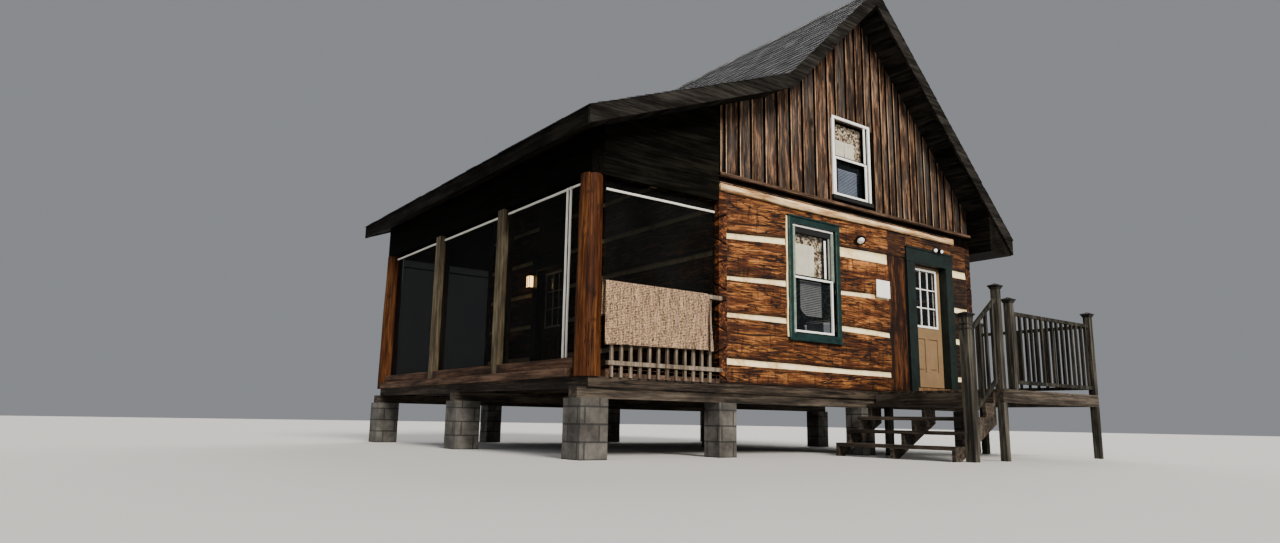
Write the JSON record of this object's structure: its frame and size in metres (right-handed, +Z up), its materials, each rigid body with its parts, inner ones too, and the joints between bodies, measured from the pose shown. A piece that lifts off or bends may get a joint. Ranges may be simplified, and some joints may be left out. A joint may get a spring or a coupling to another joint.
{
  "type": "log cabin",
  "caption": "Log cabin with a steep shingled roof, board gables, a screened side porch under a lower roof, and a front deck with steps",
  "frame": {"origin": "Middle of the bounding box on the ground plane, under the feet of the piers, posts and steps", "axes": "+X to the right along the gable wall with the front door, +Y to the back along the ridge, +Z up; the screened porch is on the -X side"},
  "size_m": [9.05, 9.485, 7.37],
  "materials": {
    "hewn_log": "rough hewn, oiled",
    "peeled_log": "peeled, weathered",
    "gable_board": "rough sawn, weathered",
    "pale_board": "weathered",
    "weathered_wood": "grey, weathered",
    "deck_wood": "weathered",
    "floor_boards": "planed",
    "eave_board": "dark stained",
    "green_paint": "painted, satin",
    "cream_paint": "painted, satin",
    "white_trim": "satin",
    "window_glass": "clear",
    "shingle": "mineral granules",
    "pier_stone": "cast, weathered",
    "screen_mesh": "woven mesh",
    "woven_cloth": "coarse woven",
    "lamp_metal": "satin"
  },
  "bodies": {
    "cabin": {"foundation_piers": "pier_stone", "floor_beams": "weathered_wood", "floor_frame": "weathered_wood", "cabin_floor": "floor_boards", "porch_deck": "deck_wood", "corner_posts": "hewn_log", "front_wall": "hewn_log", "door_post": "hewn_log", "back_wall": "hewn_log", "right_wall": "hewn_log", "left_wall": "hewn_log", "walls_over_doors": "hewn_log", "plate_board": "pale_board", "front_gable": "gable_board", "back_gable": "gable_board", "window_casings": "green_paint", "window_sashes": "white_trim", "upper_windows": "white_trim", "window_glass": "window_glass", "door_jambs": "green_paint", "door_heads": "green_paint", "door_hinges": "lamp_metal", "roof_right": "shingle", "roof_left": "shingle", "porch_roof": "shingle", "right_barge_boards": "eave_board", "left_barge_boards": "eave_board", "porch_barge_boards": "eave_board", "right_eave_box": "eave_board", "porch_fascia": "eave_board", "porch_log_posts": "peeled_log", "porch_square_posts": "weathered_wood", "porch_header": "eave_board", "porch_end_boards": "gable_board", "porch_sill_boards": "deck_wood", "porch_screens": "screen_mesh", "porch_rail": "weathered_wood", "hanging_cloth": "woven_cloth", "front_deck": "weathered_wood", "deck_frame": "weathered_wood", "deck_posts": "weathered_wood", "rail_posts": "weathered_wood", "stair": "weathered_wood", "deck_rails": "weathered_wood", "wall_lamps": "lamp_metal"},
    "front_door": {"front_door": "cream_paint"},
    "porch_door": {"porch_door": "cream_paint"}
  },
  "joints": [
    {"name": "front_door_swing", "type": "hinge", "parent": "cabin", "child": "front_door", "pos_m": [3.048, -2.5505, 2.085], "axis": [0, 0, -1], "range_deg": [0, 85]},
    {"name": "porch_door_swing", "type": "hinge", "parent": "cabin", "child": "porch_door", "pos_m": [-1.978, 2.1855, 2.085], "axis": [0, 0, 1], "range_deg": [0, 85]}
  ]
}
